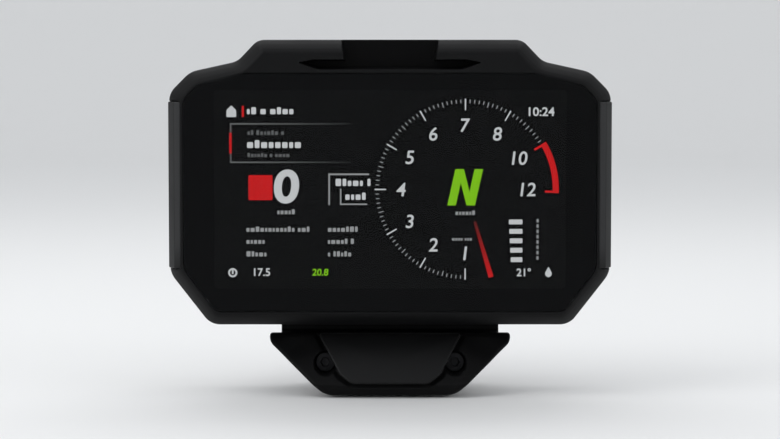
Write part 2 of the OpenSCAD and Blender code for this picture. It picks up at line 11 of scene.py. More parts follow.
import bmesh
import bpy
import numpy as np
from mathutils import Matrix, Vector


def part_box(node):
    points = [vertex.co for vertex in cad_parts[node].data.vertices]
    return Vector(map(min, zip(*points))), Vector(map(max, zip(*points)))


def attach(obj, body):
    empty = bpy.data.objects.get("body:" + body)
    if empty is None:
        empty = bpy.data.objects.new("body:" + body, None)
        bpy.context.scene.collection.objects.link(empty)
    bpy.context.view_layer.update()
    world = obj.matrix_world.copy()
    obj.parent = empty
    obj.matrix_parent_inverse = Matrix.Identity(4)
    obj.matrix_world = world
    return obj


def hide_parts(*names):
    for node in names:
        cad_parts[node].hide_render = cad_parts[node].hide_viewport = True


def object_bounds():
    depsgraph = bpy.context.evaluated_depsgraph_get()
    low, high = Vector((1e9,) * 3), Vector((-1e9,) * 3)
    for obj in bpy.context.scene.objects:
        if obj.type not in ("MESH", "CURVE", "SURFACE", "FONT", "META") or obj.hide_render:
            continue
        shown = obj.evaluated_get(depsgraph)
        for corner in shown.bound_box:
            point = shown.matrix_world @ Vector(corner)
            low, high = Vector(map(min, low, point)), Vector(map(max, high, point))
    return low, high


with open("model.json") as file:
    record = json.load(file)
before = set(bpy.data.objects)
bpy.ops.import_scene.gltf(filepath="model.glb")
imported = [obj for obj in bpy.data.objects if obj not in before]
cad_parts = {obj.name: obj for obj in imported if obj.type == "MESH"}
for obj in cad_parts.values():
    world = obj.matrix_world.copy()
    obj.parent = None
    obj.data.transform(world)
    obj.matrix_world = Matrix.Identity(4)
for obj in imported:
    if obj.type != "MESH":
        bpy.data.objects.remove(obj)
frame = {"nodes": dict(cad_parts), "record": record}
cad_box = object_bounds()
NODES = frame["nodes"]

MM = 0.001
TAU = 2 * math.pi


def box_mm(node):
    """A CAD node's lowest and highest corners, in millimetres."""
    return [np.array(corner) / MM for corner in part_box(node)]


# ---------------------------------------------------------------- places taken from the frame

LENS_LOW, LENS_HIGH = box_mm("cover_lens")
FRAME_LOW, FRAME_HIGH = box_mm("front_frame")
TRIM_LOW, TRIM_HIGH = box_mm("side_trim_right")
COVER_LOW, COVER_HIGH = box_mm("lower_cover")
FILM_LOW = box_mm("polariser_film")[0]
SCREWS_LOW, SCREWS_HIGH = box_mm("cover_screws")

Y_LENS = LENS_LOW[1]                 # front of the lens
Y_LENS_BACK = LENS_HIGH[1]
Y_RIM = FRAME_LOW[1]                 # front of the frame's land
Y_SPLIT = FRAME_HIGH[1]              # where the frame meets the rear housing
Y_LEDGE = Y_LENS_BACK + 0.6
Y_LEDGE_BACK = Y_LEDGE + 1.9
BEVEL_W, BEVEL_D = 5.0, 6.0
HALF_W = FRAME_HIGH[0]
CROWN = FRAME_HIGH[2]
SCREEN_W, SCREEN_H = 143.9, 80.9
TRIM_CREASE = 0.52                   # where the side trim's crease lies between its inner and outer edges
# The trim's grey in two painted tones: a painted highlight for its inner facet and painted shade for its
# outer facet and foot.
TRIM_PAINTED_HIGHLIGHT, TRIM_PAINTED_SHADE = (0.027, 0.0275, 0.0285), (0.008, 0.0082, 0.0086)

# Corners of the right half of each outline, from the bottom to the top: x, z and the corner's radius.
FRAME_HALF = [(74.5, FRAME_LOW[2], 8), (HALF_W, -35, 10), (HALF_W, 39.5, 8), (82.5, 48.3, 10), (63, 52.6, 8),
              (54.5, CROWN, 6.5)]
LENS_HALF = [(72, LENS_LOW[2], 6), (LENS_HIGH[0], -32.6, 8), (LENS_HIGH[0], 37, 8), (78.5, 43, 10),
             (61, LENS_HIGH[2], 10)]
COVER_TOP, COVER_BACK = -61.5, -40.0   # of the dished part; its neck stands higher and further back
COVER_HALF = [(27, COVER_LOW[2], 9), (50.5, -65, 5), (50.5, COVER_TOP, 1)]
NECK_HALF_W, NECK_FRONT = 46.0, -33.5
NECK_BACK, NECK_TOP = COVER_HIGH[1], COVER_HIGH[2]
PANEL_HALF = [(16, -80.6, 6), (21, -77, 5), (30.2, -61.2, 1)]


# ---------------------------------------------------------------- outlines

def mirrored(half):
    """A half outline's corners followed by the same corners on the left, from the top to the bottom."""
    return list(half) + [(-x, z, r) for x, z, r in reversed(half)]


def rounded(corners, steps=14):
    """A closed outline through corners (x, z, radius): each corner becomes an arc tangent to its sides."""
    places = np.array([c[:2] for c in corners], float)
    arcs = []
    for i, (x, z, radius) in enumerate(corners):
        here, u = np.array([x, z]), places[i - 1] - (x, z)
        w = places[(i + 1) % len(corners)] - here
        u, w = u / np.linalg.norm(u), w / np.linalg.norm(w)
        half = math.acos(np.clip(u @ w, -1, 1)) / 2
        hub = here + (u + w) / np.linalg.norm(u + w) * radius / math.sin(half)
        start, end = here + u * radius / math.tan(half) - hub, here + w * radius / math.tan(half) - hub
        a0 = math.atan2(start[1], start[0])
        sweep = (math.atan2(end[1], end[0]) - a0 + math.pi) % TAU - math.pi
        a = a0 + sweep * np.linspace(0, 1, steps)
        arcs.append(hub + radius * np.stack([np.cos(a), np.sin(a)], 1))
    return np.concatenate(arcs)


def box_corners(width, height, radius, cz=0.0):
    """The corners of an upright rounded rectangle centred on x = 0."""
    x, lo, hi = width / 2, cz - height / 2, cz + height / 2
    return [(x, lo, radius), (x, hi, radius), (-x, hi, radius), (-x, lo, radius)]


def inset(outline, d):
    """The outline with each point moved inwards along its mitre, so that every side moves by d."""
    before = outline - np.roll(outline, 1, 0)
    after = np.roll(outline, -1, 0) - outline
    a = np.stack([-before[:, 1], before[:, 0]], 1) / np.linalg.norm(before, axis=1)[:, None]
    b = np.stack([-after[:, 1], after[:, 0]], 1) / np.linalg.norm(after, axis=1)[:, None]
    return outline + (a + b) * d / (1 + (a * b).sum(1))[:, None]


def seen_from(centre, outline, angles):
    """The outline's points in the directions given by angles, measured anticlockwise round centre."""
    rel = outline - centre
    turn = np.unwrap(np.arctan2(rel[:, 1], rel[:, 0]))
    turn = np.concatenate([turn - TAU, turn, turn + TAU, turn + 2 * TAU])
    looped = np.tile(outline, (4, 1))
    order = np.argsort(turn, kind="stable")
    return np.stack([np.interp(angles, turn[order], looped[order, k]) for k in (0, 1)], 1)


def smooth(lo, hi, value):
    """0 below lo and 1 above hi, with an S-shaped rise between them."""
    t = np.clip((value - lo) / (hi - lo), 0, 1)
    return t * t * (3 - 2 * t)


def distance_inside(corners_2d, x, z):
    """How far each point lies inside a convex polygon with anticlockwise corners; negative outside it."""
    depth = np.full(np.shape(x), np.inf)
    for (ax, az), (bx, bz) in zip(corners_2d, corners_2d[1:] + corners_2d[:1]):
        side = math.hypot(bx - ax, bz - az)
        depth = np.minimum(depth, ((bx - ax) * (z - az) - (bz - az) * (x - ax)) / side)
    return depth


# ---------------------------------------------------------------- meshes

def new_piece(name, points, faces, body, material, replaces=(), soft=True):
    """A mesh object from points in millimetres, which rides on a body and may stand for CAD nodes."""
    mesh = bpy.data.meshes.new(name)
    mesh.from_pydata((np.asarray(points, float) * MM).tolist(), [], [list(map(int, f)) for f in faces])
    mesh.validate()
    mesh.update()
    mesh.polygons.foreach_set("use_smooth", np.full(len(mesh.polygons), soft))
    piece = bpy.data.objects.new(name, mesh)
    bpy.context.scene.collection.objects.link(piece)
    mesh.materials.append(material)
    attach(piece, body)
    if replaces:
        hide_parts(*replaces)
    return piece


def grid_faces(rows, columns, around=True, over=False):
    """Quads between neighbouring rows of a grid; around closes each row on itself, and over joins the last
    row to the first."""
    r = np.arange(rows if over else rows - 1)[:, None]
    c = np.arange(columns if around else columns - 1)[None, :]
    r2, c2 = (r + 1) % rows, (c + 1) % columns
    quads = np.stack([r * columns + c, r * columns + c2, r2 * columns + c2, r2 * columns + c], -1)
    return quads.reshape(-1, 4)


def rings_to_solid(rings, first_hub=None, last_hub=None, over=False):
    """Points and faces of a surface through closed rings of equal length, with poles where asked."""
    count, columns = len(rings), len(rings[0])
    points = np.concatenate(rings)
    faces = [list(q) for q in grid_faces(count, columns, True, over)]
    c = np.arange(columns)
    if first_hub is not None:
        points = np.concatenate([points, [first_hub]])
        faces += [[len(points) - 1, int((i + 1) % columns), int(i)] for i in c]
    if last_hub is not None:
        points = np.concatenate([points, [last_hub]])
        base = (count - 1) * columns
        faces += [[len(points) - 1, int(base + i), int(base + (i + 1) % columns)] for i in c]
    return points, faces


def sharpen(piece, degrees=38):
    """Edges that turn by more than this stay crisp."""
    piece.data.set_sharp_from_angle(angle=math.radians(degrees))


def ring_3d(flat, y):
    """Lifts (x, z) points to (x, y, z); y is one depth or one for each point."""
    return np.stack([flat[:, 0], np.broadcast_to(y, len(flat)).astype(float), flat[:, 1]], 1)


def arc_steps(y0, d0, y1, d1, y2, d2, steps):
    """A curve of (inset, depth) pairs that rounds the corner d1, y1 between two places on its sides."""
    t = np.linspace(0, 1, steps)
    return [((1 - s) ** 2 * d0 + 2 * s * (1 - s) * d1 + s * s * d2,
             (1 - s) ** 2 * y0 + 2 * s * (1 - s) * y1 + s * s * y2) for s in t]


# ---------------------------------------------------------------- finishes

class Finish:
    """A node material for one finish, read from the piece's own Object coordinates."""

    def __init__(self, name, colour, roughness, metallic=0.0):
        self.material = bpy.data.materials.new(name)
        self.material.use_nodes = True
        self.tree = self.material.node_tree
        self.shader = self.tree.nodes["Principled BSDF"]
        self.shader.inputs["Base Color"].default_value = (*colour, 1)
        self.shader.inputs["Roughness"].default_value = roughness
        self.shader.inputs["Metallic"].default_value = metallic
        self.place = self.add("ShaderNodeTexCoord").outputs["Object"]
        self.height = None

    def add(self, kind, **settings):
        """A node of this kind, with its settings and, where a name is a socket's, that socket's value."""
        node = self.tree.nodes.new(kind)
        for key, value in settings.items():
            if key in node.inputs:
                node.inputs[key].default_value = value
            else:
                setattr(node, key, value)
        return node

    def link(self, source, target):
        self.tree.links.new(source, target)

    def noise(self, scale, detail=3.0, rough=0.5, stretch=None):
        """Noise of so many waves a metre, drawn out along an axis where stretch says so."""
        node = self.add("ShaderNodeTexNoise", Scale=scale, Detail=detail, Roughness=rough)
        place = self.place
        if stretch:
            mapping = self.add("ShaderNodeMapping", Scale=stretch)
            self.link(place, mapping.inputs["Vector"])
            place = mapping.outputs["Vector"]
        self.link(place, node.inputs["Vector"])
        return node.outputs["Fac"]

    def spread(self, source, low, high, target):
        """Sends source, stretched to the range low to high, to one of the shader's sockets."""
        node = self.add("ShaderNodeMapRange")
        node.inputs["From Min"].default_value, node.inputs["From Max"].default_value = 0.3, 0.7
        node.inputs["To Min"].default_value, node.inputs["To Max"].default_value = low, high
        self.link(source, node.inputs["Value"])
        self.link(node.outputs["Result"], self.shader.inputs[target])
        return self

    def tint(self, source, dark, light):
        """Mixes two colours by source for the base colour."""
        node = self.add("ShaderNodeMix", data_type="RGBA")
        colours = [s for s in node.inputs if s.type == "RGBA"]
        colours[0].default_value, colours[1].default_value = (*dark, 1), (*light, 1)
        self.link(source, node.inputs["Factor"])
        self.link([s for s in node.outputs if s.type == "RGBA"][0], self.shader.inputs["Base Color"])
        return self

    def bump(self, source, depth_mm, strength=1.0):
        """Adds a bump of this depth on top of the ones before it."""
        node = self.add("ShaderNodeBump", Strength=strength, Distance=depth_mm * MM)
        self.link(source, node.inputs["Height"])
        if self.height:
            self.link(self.height, node.inputs["Normal"])
        self.height = node.outputs["Normal"]
        self.link(self.height, self.shader.inputs["Normal"])
        return self

    def soften_edges(self, radius_mm):
        """Lights sharp edges as if they had this radius."""
        node = self.add("ShaderNodeBevel", samples=4, Radius=radius_mm * MM)
        self.height = node.outputs["Normal"]
        self.link(self.height, self.shader.inputs["Normal"])
        return self


def moulded(name, colour, roughness, grain=0.02, waves=5200, edges=0.0, gloss=0.5):
    """Moulded plastic: a fine spark-eroded grain, with slow drifts of gloss and shade."""
    f = Finish(name, colour, roughness)
    f.shader.inputs["Specular IOR Level"].default_value = gloss
    if edges:
        f.soften_edges(edges)
    drift = f.noise(38, 2)
    f.spread(drift, roughness - 0.05, roughness + 0.07, "Roughness")
    f.tint(f.noise(900, 4), [c * 0.88 for c in colour], [c * 1.14 for c in colour])
    f.bump(f.noise(waves, 2, 0.6), grain, 0.55)
    return f


def powder_coated(name, colour, roughness=0.5, edges=0.5):
    """Powder coat over a casting: a pebbled orange peel with finer specks, softly rounded at its edges."""
    f = Finish(name, colour, roughness)
    f.shader.inputs["Specular IOR Level"].default_value = 0.35
    f.soften_edges(edges)
    f.spread(f.noise(60, 3), roughness - 0.08, roughness + 0.08, "Roughness")
    f.tint(f.noise(1400, 5), [c * 0.8 for c in colour], [c * 1.25 for c in colour])
    f.bump(f.noise(1500, 2), 0.05, 0.5)
    f.bump(f.noise(6000, 2), 0.015, 0.4)
    return f


def turned_steel(name, colour, roughness=0.3, edges=0.15):
    """Plated steel with fine tool marks and cloudy plating."""
    f = Finish(name, colour, roughness, 1.0)
    f.soften_edges(edges)
    f.spread(f.noise(260, 4), roughness - 0.08, roughness + 0.14, "Roughness")
    f.tint(f.noise(150, 3), [c * 0.82 for c in colour], [min(1, c * 1.08) for c in colour])
    f.bump(f.noise(3000, 2, 0.6, (1, 14, 1)), 0.006, 0.5)
    return f


def rubbery(name, colour, roughness=0.8):
    """Moulded rubber: matt, faintly dusty, with a soft grain."""
    f = Finish(name, colour, roughness)
    f.soften_edges(0.4)
    f.tint(f.noise(220, 4), [c * 0.7 for c in colour], [c * 1.6 for c in colour])
    f.spread(f.noise(120, 3), roughness - 0.1, roughness + 0.1, "Roughness")
    f.bump(f.noise(2600, 3), 0.03, 0.5)
    return f


def coated_glass():
    """The lens: nearly clear, with the soft haze of an anti-glare coat over what is behind it."""
    f = Finish("anti_glare_glass", (0.011, 0.0115, 0.012), 0.26)
    f.shader.inputs["Specular IOR Level"].default_value = 0.12
    f.spread(f.noise(25, 2), 0.23, 0.29, "Roughness")
    f.bump(f.noise(9000, 1), 0.002, 0.3)
    clear = f.add("ShaderNodeBsdfTransparent", Color=(0.96, 0.97, 0.97, 1))
    blend = f.add("ShaderNodeMixShader", Fac=0.30)
    out = f.tree.nodes["Material Output"]
    f.link(clear.outputs["BSDF"], blend.inputs[1])
    f.link(f.shader.outputs["BSDF"], blend.inputs[2])
    f.link(blend.outputs["Shader"], out.inputs["Surface"])
    return f


def lit_ink(name, colour, strength, uneven=0.06):
    """Light from the screen's pixels, with a slight unevenness of the backlight."""
    f = Finish(name, (0, 0, 0), 0.6)
    f.shader.inputs["Emission Strength"].default_value = strength
    mix = f.add("ShaderNodeMix", data_type="RGBA")
    colours = [s for s in mix.inputs if s.type == "RGBA"]
    colours[0].default_value = (*[c * (1 - uneven) for c in colour], 1)
    colours[1].default_value = (*colour, 1)
    f.link(f.noise(30, 2), mix.inputs["Factor"])
    f.link([s for s in mix.outputs if s.type == "RGBA"][0], f.shader.inputs["Emission Color"])
    return f


def trim_with_painted_sheen():
    """The side trim's satin grey with painted light on it: a painted highlight on its inner half and painted
    shade on its outer one, parted at its crease, and painted shade that darkens it towards its foot."""
    f = Finish("trim_satin_grey_painted_sheen", (0.05, 0.051, 0.053), 0.36)
    f.shader.inputs["Specular IOR Level"].default_value = 0.18
    split = f.add("ShaderNodeSeparateXYZ")
    f.link(f.place, split.inputs["Vector"])
    across = f.add("ShaderNodeMath", operation="ABSOLUTE")
    f.link(split.outputs["X"], across.inputs[0])
    crease = TRIM_LOW[0] + TRIM_CREASE * (TRIM_HIGH[0] - TRIM_LOW[0])
    # These two masks say where painted shade darkens the trim: over its outer facet and towards its foot.
    outer = f.add("ShaderNodeMapRange", interpolation_type="SMOOTHSTEP")
    foot_painted_shade = f.add("ShaderNodeMapRange", interpolation_type="SMOOTHSTEP")
    for node, low, high in ((outer, crease - 0.5, crease + 0.3), (foot_painted_shade, TRIM_LOW[2] + 12, TRIM_LOW[2] - 2)):
        node.inputs["From Min"].default_value = low * MM
        node.inputs["From Max"].default_value = high * MM
    f.link(across.outputs["Value"], outer.inputs["Value"])
    f.link(split.outputs["Z"], foot_painted_shade.inputs["Value"])
    # The painted shade of both masks together.
    painted_shade_mask = f.add("ShaderNodeMath", operation="MAXIMUM")
    f.link(outer.outputs["Result"], painted_shade_mask.inputs[0])
    f.link(foot_painted_shade.outputs["Result"], painted_shade_mask.inputs[1])
    # Random grain added to the painted shade before it mixes the two trim tones.
    grain = f.add("ShaderNodeMath", operation="MULTIPLY_ADD")
    grain.inputs[1].default_value = 0.16
    f.link(f.noise(900, 4), grain.inputs[0])
    f.link(painted_shade_mask.outputs["Value"], grain.inputs[2])
    f.tint(grain.outputs["Value"], TRIM_PAINTED_HIGHLIGHT, TRIM_PAINTED_SHADE)
    f.spread(f.noise(38, 2), 0.32, 0.42, "Roughness")
    f.bump(f.noise(4200, 2, 0.6), 0.012, 0.55)
    return f


GLASS = coated_glass().material
# The black plastics are darker and less glossy than real ones, to stay black in a bright studio.
CASE = moulded("case_plastic_black", (0.0034, 0.0035, 0.0038), 0.46, gloss=0.13).material
# Painted shade: a darker, matt copy of the case plastic for the crown's notch and crescent slot.
CASE_PAINTED_SHADE = moulded("case_plastic_recess_painted_shade", (0.002, 0.002, 0.0021), 0.6, gloss=0.06).material
# The side trims' satin grey with a painted highlight and painted shade on it.
TRIM = trim_with_painted_sheen().material
COVER = moulded("cover_plastic_black", (0.0028, 0.0028, 0.003), 0.55, 0.03, 3600, gloss=0.1).material
PANEL = moulded("panel_plastic_charcoal", (0.0052, 0.0053, 0.0056), 0.45, 0.015, 5200, gloss=0.16).material
PRINT = moulded("lens_print_black", (0.003, 0.003, 0.0033), 0.6, 0.004, gloss=0.0).material
MOULDED_BLACK = moulded("connector_plastic_black", (0.014, 0.014, 0.015), 0.45, 0.02, 4200, 0.25).material
NATURAL_NYLON = moulded("natural_nylon", (0.62, 0.59, 0.5), 0.42, 0.02, 3000, 0.2).material
FRICTION = moulded("filled_nylon_grey", (0.11, 0.105, 0.1), 0.55, 0.03, 3000, 0.1).material
WHITE = moulded("reflector_white", (0.78, 0.78, 0.76), 0.5, 0.01).material
CASTING = powder_coated("casting_powder_coat", (0.017, 0.0175, 0.0185)).material
BRACKET = powder_coated("bracket_powder_coat", (0.012, 0.0125, 0.013), 0.55, 0.6).material
STEEL = turned_steel("zinc_plated_steel", (0.62, 0.63, 0.65)).material
BLACK_STEEL = turned_steel("black_zinc_steel", (0.06, 0.06, 0.063), 0.38).material
COVER_STEEL = turned_steel("blackened_steel", (0.016, 0.016, 0.017), 0.45).material
SHEET_STEEL = turned_steel("tinned_sheet_steel", (0.66, 0.67, 0.68), 0.26, 0.05).material
CAN_METAL = turned_steel("drawn_aluminium_can", (0.74, 0.75, 0.76), 0.3).material
CONTACTS = turned_steel("gilt_contacts", (0.83, 0.63, 0.26), 0.25, 0.05).material
RUBBER = rubbery("mount_rubber_black", (0.012, 0.012, 0.0125)).material
FOAM = rubbery("sealing_foam_black", (0.004, 0.004, 0.004), 0.9).material
GAP_FILLER = rubbery("gap_filler_grey", (0.3, 0.38, 0.45), 0.7).material


def circuit_board():
    """Solder mask with faint copper traces and a grid of vias under it."""
    f = Finish("circuit_board_green", (0.01, 0.08, 0.04), 0.3)
    wave = f.add("ShaderNodeTexBrick", Scale=240.0)
    f.link(f.place, wave.inputs["Vector"])
    f.tint(wave.outputs["Fac"], (0.008, 0.07, 0.036), (0.02, 0.14, 0.07))
    f.spread(f.noise(400, 3), 0.24, 0.38, "Roughness")
    f.bump(wave.outputs["Fac"], 0.02, 0.4)
    return f.material


def dark_screen():
    """The unlit face of the LCD: black glass with the faintest glow of the backlight."""
    f = Finish("screen_black", (0.0024, 0.0024, 0.0028), 0.45)
    f.shader.inputs["Specular IOR Level"].default_value = 0.0
    f.spread(f.noise(30, 2), 0.3, 0.4, "Roughness")
    return f.material


def see_through(name, colour, roughness, clearness, gloss=0.5):
    """A clear sheet or moulding that shows what is behind it."""
    f = Finish(name, colour, roughness)
    f.spread(f.noise(60, 2), roughness * 0.8, roughness * 1.2, "Roughness")
    f.shader.inputs["Alpha"].default_value = 1 - clearness
    f.shader.inputs["Specular IOR Level"].default_value = gloss
    return f.material


BOARD = circuit_board()
SCREEN = dark_screen()
FILM = see_through("polariser_sheet", (0.004, 0.004, 0.0045), 0.4, 0.7, 0.0)
ACRYLIC = see_through("clear_acrylic", (0.85, 0.88, 0.9), 0.08, 0.6)
MILKY = moulded("milky_diffuser", (0.75, 0.77, 0.79), 0.5, 0.01).material
POLYIMIDE = moulded("amber_polyimide", (0.45, 0.19, 0.03), 0.3, 0.006).material

NODE_FINISH = {
    "cover_lens": GLASS, "lens_seal": FOAM, "polariser_film": FILM, "front_frame": CASE,
    "side_trim_left": TRIM, "side_trim_right": TRIM, "lcd_panel": SCREEN, "diffuser_sheet": MILKY,
    "light_guide": ACRYLIC, "reflector_sheet": WHITE, "led_strip": BOARD, "backlight_tray": SHEET_STEEL,
    "display_cable": POLYIMIDE, "telltale_guide_left": WHITE, "telltale_guide_right": WHITE,
    "telltale_leds": WHITE, "light_pipe": ACRYLIC, "light_sensor": MOULDED_BLACK, "main_board": BOARD,
    "cable_socket": NATURAL_NYLON, "processor": MOULDED_BLACK, "memory_chips": MOULDED_BLACK,
    "power_coils": MOULDED_BLACK, "capacitors": CAN_METAL, "radio_module": SHEET_STEEL,
    "shield_can": SHEET_STEEL, "thermal_pad": GAP_FILLER, "board_screws": STEEL, "housing_seal": FOAM,
    "rear_housing": CASTING, "housing_screws": BLACK_STEEL, "header_connector": MOULDED_BLACK,
    "header_pins": CONTACTS, "header_seal": FOAM, "vent_plug": MOULDED_BLACK, "vent_membrane": WHITE,
    "tilt_arm_left": BRACKET, "tilt_arm_right": BRACKET, "arm_screws": BLACK_STEEL,
    "pivot_bolt_left": STEEL, "pivot_bolt_right": STEEL, "friction_washer_left": FRICTION,
    "friction_washer_right": FRICTION, "spring_washer_left": STEEL, "spring_washer_right": STEEL,
    "support_bracket": BRACKET, "pivot_bush_left": NATURAL_NYLON, "pivot_bush_right": NATURAL_NYLON,
    "grommet_top_left": RUBBER, "grommet_top_right": RUBBER, "grommet_bottom_left": RUBBER,
    "grommet_bottom_right": RUBBER, "mount_sleeves": STEEL, "lower_cover": COVER, "lower_panel": PANEL,
    "cover_screws": COVER_STEEL,
}
for node_name, node in NODES.items():
    node.data.materials.clear()
    node.data.materials.append(NODE_FINISH[node_name])


# ---------------------------------------------------------------- castings, fasteners and rubber mounts

RECORD = frame["record"]
BODY_OF = {node: body for body, members in RECORD["behaviour"]["bodies"].items() for node in members}

# Nodes that keep the drawing's shape and get a real radius along their edges, with that radius.
EDGE_RADIUS = {
    "rear_housing": 0.55, "support_bracket": 0.6, "tilt_arm_left": 0.5, "tilt_arm_right": 0.5,
    "header_connector": 0.35, "vent_plug": 0.4, "pivot_bolt_left": 0.35, "pivot_bolt_right": 0.35,
    "mount_sleeves": 0.3, "housing_screws": 0.22, "arm_screws": 0.25, "cover_screws": 0.3,
    "friction_washer_left": 0.15, "friction_washer_right": 0.15, "pivot_bush_left": 0.2,
    "pivot_bush_right": 0.2, "grommet_top_left": 0.9, "grommet_top_right": 0.9,
    "grommet_bottom_left": 0.9, "grommet_bottom_right": 0.9,
}


def soften(node, radius, crease=32.0):
    """A copy of a node whose triangles are joined into whole faces; its sharp edges get a rounded bevel of
    this radius and its gentle ones are shaded smooth."""
    work = bmesh.new()
    work.from_mesh(NODES[node].data)
    bmesh.ops.remove_doubles(work, verts=work.verts, dist=0.002 * MM)
    bmesh.ops.dissolve_limit(work, angle_limit=math.radians(0.6), verts=work.verts, edges=work.edges)
    mesh = bpy.data.meshes.new(f"{node}_finished")
    work.to_mesh(mesh)
    work.free()
    mesh.materials.clear()
    mesh.materials.append(NODE_FINISH[node])
    mesh.polygons.foreach_set("use_smooth", np.full(len(mesh.polygons), True))
    mesh.set_sharp_from_angle(angle=math.radians(crease))
    piece = bpy.data.objects.new(f"{node}_finished", mesh)
    bpy.context.scene.collection.objects.link(piece)
    bevel = piece.modifiers.new("edges", "BEVEL")
    bevel.width, bevel.segments = radius * MM, 2
    bevel.limit_method, bevel.angle_limit = "ANGLE", math.radians(crease)
    bevel.harden_normals = True
    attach(piece, BODY_OF[node])
    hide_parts(node)
    return piece


for node_name, edge_radius in EDGE_RADIUS.items():
    soften(node_name, edge_radius)


# ---------------------------------------------------------------- front frame

AROUND = np.linspace(0, TAU, 1080, endpoint=False)
CENTRE = np.zeros(2)
frame_line = rounded(mirrored(FRAME_HALF))
lens_line = rounded(mirrored(LENS_HALF))
NOTCH = [(-18.4, 52), (18.4, 52), (20.5, CROWN + 4), (-20.5, CROWN + 4)]
CRESCENT = [(-36.5, 52.1), (-29.5, 49.7), (29.5, 49.7), (36.5, 52.1), (30.5, 53.2), (-30.5, 53.2)]
RECESS_FLOOR = Y_RIM + 7.4
Z_RECESS_LOW = 49.0


def sink_recesses(points):
    """The crown's notch and crescent slot: inside their outlines a point in front of the floor moves back to
    it."""
    x, y, z = points.T
    inside = smooth(-0.35, 0.35, distance_inside(NOTCH, x, z))
    inside = np.maximum(inside, smooth(-0.35, 0.35, distance_inside(CRESCENT, x, z)))
    return np.stack([x, y + (np.maximum(y, RECESS_FLOOR) - y) * inside, z], 1)


def paint_recess_shade(piece):
    """A matt finish with painted shade, darker than the case, on the faces whose middles lie well inside the
    notch or the crescent slot.
    """
    piece.data.materials.append(CASE_PAINTED_SHADE)
    middles = np.array([face.center for face in piece.data.polygons]) / MM
    x, y, z = middles.T
    inside = np.maximum(distance_inside(NOTCH, x, z), distance_inside(CRESCENT, x, z)) > -0.1
    # The faces that take the painted shade.
    dark = inside & (y < Y_RIM + 12) & (z > Z_RECESS_LOW)
    piece.data.polygons.foreach_set("material_index", dark.astype(int))


def sink_trim_seat(points, depth=1.0):
    """The seat of a side trim: the bevel and the wall beside it move inwards over the trim's length."""
    x, y, z = points.T
    along = smooth(TRIM_LOW[2] - 0.35, TRIM_LOW[2] + 0.1, z)
    along = along * smooth(-TRIM_HIGH[2] - 0.35, -TRIM_HIGH[2] + 0.1, -z)
    outer = smooth(TRIM_LOW[0] + 0.1, TRIM_LOW[0] + 0.8, np.abs(x))
    outer = outer * smooth(-(Y_RIM + 10.8), -(Y_RIM + 10.2), -y)
    sunk = depth * along * outer
    return np.stack([x - np.sign(x) * sunk, y + sunk * 0.6 * (y < Y_RIM + BEVEL_D), z], 1)


def front_frame():
    """A ring swept round the face: each row is the outline moved in by d at depth y, and the rows run from
    the back edge up the wall, over the bevel and the land, down the lens's pocket and back along the
    inside."""
    run = [(0.35, Y_SPLIT), (0.0, Y_SPLIT - 0.35)]
    run += [(0.0, Y_RIM + BEVEL_D + 5.0), (0.0, Y_RIM + BEVEL_D + 1.6)]
    run += arc_steps(Y_RIM + BEVEL_D + 1.2, 0, Y_RIM + BEVEL_D, 0, Y_RIM + BEVEL_D - 1.1, 0.92, 7)
    run += [(d, Y_RIM + BEVEL_D * (1 - d / BEVEL_W) - 0.3 * math.sin(math.pi * d / BEVEL_W))
            for d in np.linspace(1.4, BEVEL_W - 1.1, 7)]
    run += arc_steps(Y_RIM + 0.95, BEVEL_W - 0.85, Y_RIM, BEVEL_W, Y_RIM, BEVEL_W + 0.9, 6)
    rows = [ring_3d(seen_from(CENTRE, inset(frame_line, d), AROUND), y) for d, y in run]
    edge = seen_from(CENTRE, inset(frame_line, BEVEL_W + 0.9), AROUND)
    pocket = seen_from(CENTRE, inset(lens_line, -0.18), AROUND)
    lip = seen_from(CENTRE, inset(lens_line, -0.48), AROUND)
    rows += [ring_3d(edge * (1 - w) + lip * w, Y_RIM) for w in np.linspace(0, 1, 26)[1:]]
    rows += [ring_3d(lip * (1 - w) + pocket * w, Y_RIM + 0.3 * w * w) for w in (0.4, 0.75, 1.0)]
    window = seen_from(CENTRE, rounded(box_corners(152, 90.2, 2, -2.3)), AROUND)
    room = [(80, -49, 6), (80, 48.5, 12), (-80, 48.5, 12), (-80, -49, 6)]
    cavity = seen_from(CENTRE, rounded(room), AROUND)
    rows += [ring_3d(pocket, Y_RIM + 1.2), ring_3d(pocket, Y_LEDGE), ring_3d(window, Y_LEDGE),
             ring_3d(window, Y_LEDGE_BACK), ring_3d(cavity, Y_LEDGE_BACK), ring_3d(cavity, Y_SPLIT)]
    rows = [sink_trim_seat(sink_recesses(row)) for row in rows]
    points, faces = rings_to_solid(rows, over=True)
    piece = new_piece("front_frame_shell", points, faces, "display", CASE, ["front_frame"])
    sharpen(piece)
    # Painted shade in the crown's notch and crescent slot.
    paint_recess_shade(piece)
    return piece


def cover_lens():
    """The lens: rows run from the back's middle out to its edge, round a softened front edge and in to the
    middle."""
    run = [(0.0, Y_LENS_BACK), (0.0, Y_LENS + 0.9)]
    run += arc_steps(Y_LENS + 0.75, 0, Y_LENS, 0, Y_LENS, 0.9, 7)
    rows = [ring_3d(seen_from(CENTRE, inset(lens_line, d), AROUND), y) for d, y in run]
    inner = seen_from(CENTRE, inset(lens_line, 0.9), AROUND)
    back = seen_from(CENTRE, lens_line, AROUND)
    rows = [ring_3d(back * s, Y_LENS_BACK) for s in (0.3, 0.7)] + rows
    rows += [ring_3d(inner * s, Y_LENS) for s in (0.97, 0.7, 0.3)]
    points, faces = rings_to_solid(rows, (0, Y_LENS_BACK, 0), (0, Y_LENS, 0))
    piece = new_piece("cover_lens_glass", points, faces, "display", GLASS, ["cover_lens"])
    sharpen(piece, 50)
    return piece


